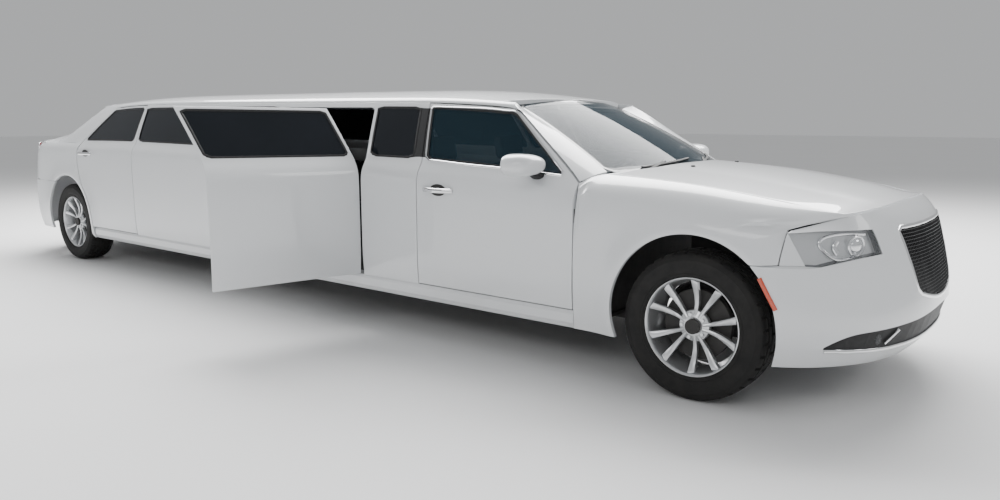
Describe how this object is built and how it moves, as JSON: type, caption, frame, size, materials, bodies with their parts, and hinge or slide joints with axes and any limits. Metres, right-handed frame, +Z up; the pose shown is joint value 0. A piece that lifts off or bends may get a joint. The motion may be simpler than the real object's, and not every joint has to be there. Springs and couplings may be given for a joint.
{
  "type": "stretch limousine",
  "caption": "Long white luxury car with a stretched cabin, hinged doors with one standing open, opening hood and trunk lid, steered front wheels and a lounge interior.",
  "frame": {"origin": "on the ground, on the centreline, halfway between the axles", "axes": "+X forward, +Y to the left, +Z up"},
  "size_m": [8.2518, 3.0217, 1.5242],
  "materials": {
    "white_paint": "gloss",
    "privacy_glass": "gloss",
    "windscreen_glass": "gloss",
    "tyre": "matte",
    "rim": "satin",
    "seat_leather": "satin",
    "chassis": "matte",
    "cabin_plastic": "matte",
    "cabinet_wood": "gloss",
    "black_trim": "gloss",
    "exhaust": "satin",
    "plate": "satin",
    "lamp_glass": "gloss",
    "tail_lens": "gloss"
  },
  "bodies": {
    "root": {"floor_pan": "chassis", "sills": "white_paint", "frame_rails": "chassis", "firewall": "chassis", "hinges": "chassis", "front_fender_left": "white_paint", "front_fender_right": "white_paint", "front_bumper": "white_paint", "grille": "black_trim", "headlights": "lamp_glass", "windscreen": "windscreen_glass", "roof_panel": "white_paint", "roof_rails": "white_paint", "side_panel_left": "white_paint", "side_panel_right": "white_paint", "side_glass_left": "privacy_glass", "side_glass_right": "privacy_glass", "rear_quarter_left": "white_paint", "rear_quarter_right": "white_paint", "rear_window": "privacy_glass", "tail_lights": "tail_lens", "rear_bumper": "white_paint", "number_plate": "plate", "front_suspension": "chassis", "rear_axle": "chassis", "engine_block": "chassis", "exhaust": "exhaust", "dashboard": "cabin_plastic", "front_seats": "seat_leather", "partition": "cabin_plastic", "lounge_seat": "seat_leather", "rear_seat": "seat_leather", "bar_cabinet": "cabinet_wood"},
    "front_door_left_body": {"front_door_left": "white_paint", "front_door_glass_left": "windscreen_glass", "mirror_left": "white_paint"},
    "rear_door_left_body": {"rear_door_left": "white_paint", "rear_door_glass_left": "privacy_glass"},
    "front_door_right_body": {"front_door_right": "white_paint", "front_door_glass_right": "windscreen_glass", "mirror_right": "white_paint"},
    "rear_door_right_body": {"rear_door_right": "white_paint", "rear_door_glass_right": "privacy_glass"},
    "fifth_door_body": {"fifth_door": "white_paint", "fifth_door_glass": "privacy_glass"},
    "hood_body": {"hood": "white_paint"},
    "trunk_lid_body": {"trunk_lid": "white_paint"},
    "steering_left": {"steering_knuckle_left": "chassis"},
    "wheel_front_left": {"tyre_front_left": "tyre", "rim_front_left": "rim"},
    "wheel_rear_left": {"tyre_rear_left": "tyre", "rim_rear_left": "rim"},
    "steering_right": {"steering_knuckle_right": "chassis"},
    "wheel_front_right": {"tyre_front_right": "tyre", "rim_front_right": "rim"},
    "wheel_rear_right": {"tyre_rear_right": "tyre", "rim_rear_right": "rim"},
    "steering_wheel_body": {"steering_wheel": "cabin_plastic"}
  },
  "joints": [
    {"name": "front_door_left_hinge", "type": "hinge", "parent": "root", "child": "front_door_left_body", "pos_m": [2.485, 0.943, 0.7], "axis": [0, 0, -1], "range_deg": [0, 65]},
    {"name": "rear_door_left_hinge", "type": "hinge", "parent": "root", "child": "rear_door_left_body", "pos_m": [-1.915, 0.943, 0.7], "axis": [0, 0, -1], "range_deg": [0, 65]},
    {"name": "front_door_right_hinge", "type": "hinge", "parent": "root", "child": "front_door_right_body", "pos_m": [2.485, -0.943, 0.7], "axis": [0, 0, 1], "range_deg": [0, 65]},
    {"name": "rear_door_right_hinge", "type": "hinge", "parent": "root", "child": "rear_door_right_body", "pos_m": [-1.915, -0.943, 0.7], "axis": [0, 0, 1], "range_deg": [0, 65]},
    {"name": "fifth_door_hinge", "type": "hinge", "parent": "root", "child": "fifth_door_body", "pos_m": [0.912, -0.943, 0.7], "axis": [0, 0, 1], "range_deg": [-76, 0]},
    {"name": "hood_hinge", "type": "hinge", "parent": "root", "child": "hood_body", "pos_m": [2.585, 0, 1.086], "axis": [0, -1, 0], "range_deg": [0, 50]},
    {"name": "trunk_lid_hinge", "type": "hinge", "parent": "root", "child": "trunk_lid_body", "pos_m": [-3.713, 0, 1.121], "axis": [0, 1, 0], "range_deg": [0, 75]},
    {"name": "steer_left", "type": "hinge", "parent": "root", "child": "steering_left", "pos_m": [3.125, 0.762, 0.3565], "axis": [0, 0, 1], "range_deg": [-30, 30]},
    {"name": "spin_front_left", "type": "hinge", "parent": "steering_left", "child": "wheel_front_left", "pos_m": [3.125, 0.802, 0.3565], "axis": [0, 1, 0], "continuous": true},
    {"name": "spin_rear_left", "type": "hinge", "parent": "root", "child": "wheel_rear_left", "pos_m": [-3.125, 0.802, 0.3565], "axis": [0, 1, 0], "continuous": true},
    {"name": "steer_right", "type": "hinge", "parent": "root", "child": "steering_right", "pos_m": [3.125, -0.762, 0.3565], "axis": [0, 0, 1], "range_deg": [-30, 30]},
    {"name": "spin_front_right", "type": "hinge", "parent": "steering_right", "child": "wheel_front_right", "pos_m": [3.125, -0.802, 0.3565], "axis": [0, 1, 0], "continuous": true},
    {"name": "spin_rear_right", "type": "hinge", "parent": "root", "child": "wheel_rear_right", "pos_m": [-3.125, -0.802, 0.3565], "axis": [0, 1, 0], "continuous": true},
    {"name": "steering_wheel_turn", "type": "hinge", "parent": "root", "child": "steering_wheel_body", "pos_m": [1.995, 0.37, 0.88], "axis": [-0.9135, 0, 0.4067], "range_deg": [-450, 450]}
  ],
  "couplings": [
    {"joint": "steer_right", "follows": "steer_left", "ratio": 1},
    {"joint": "steering_wheel_turn", "follows": "steer_left", "ratio": 15}
  ]
}
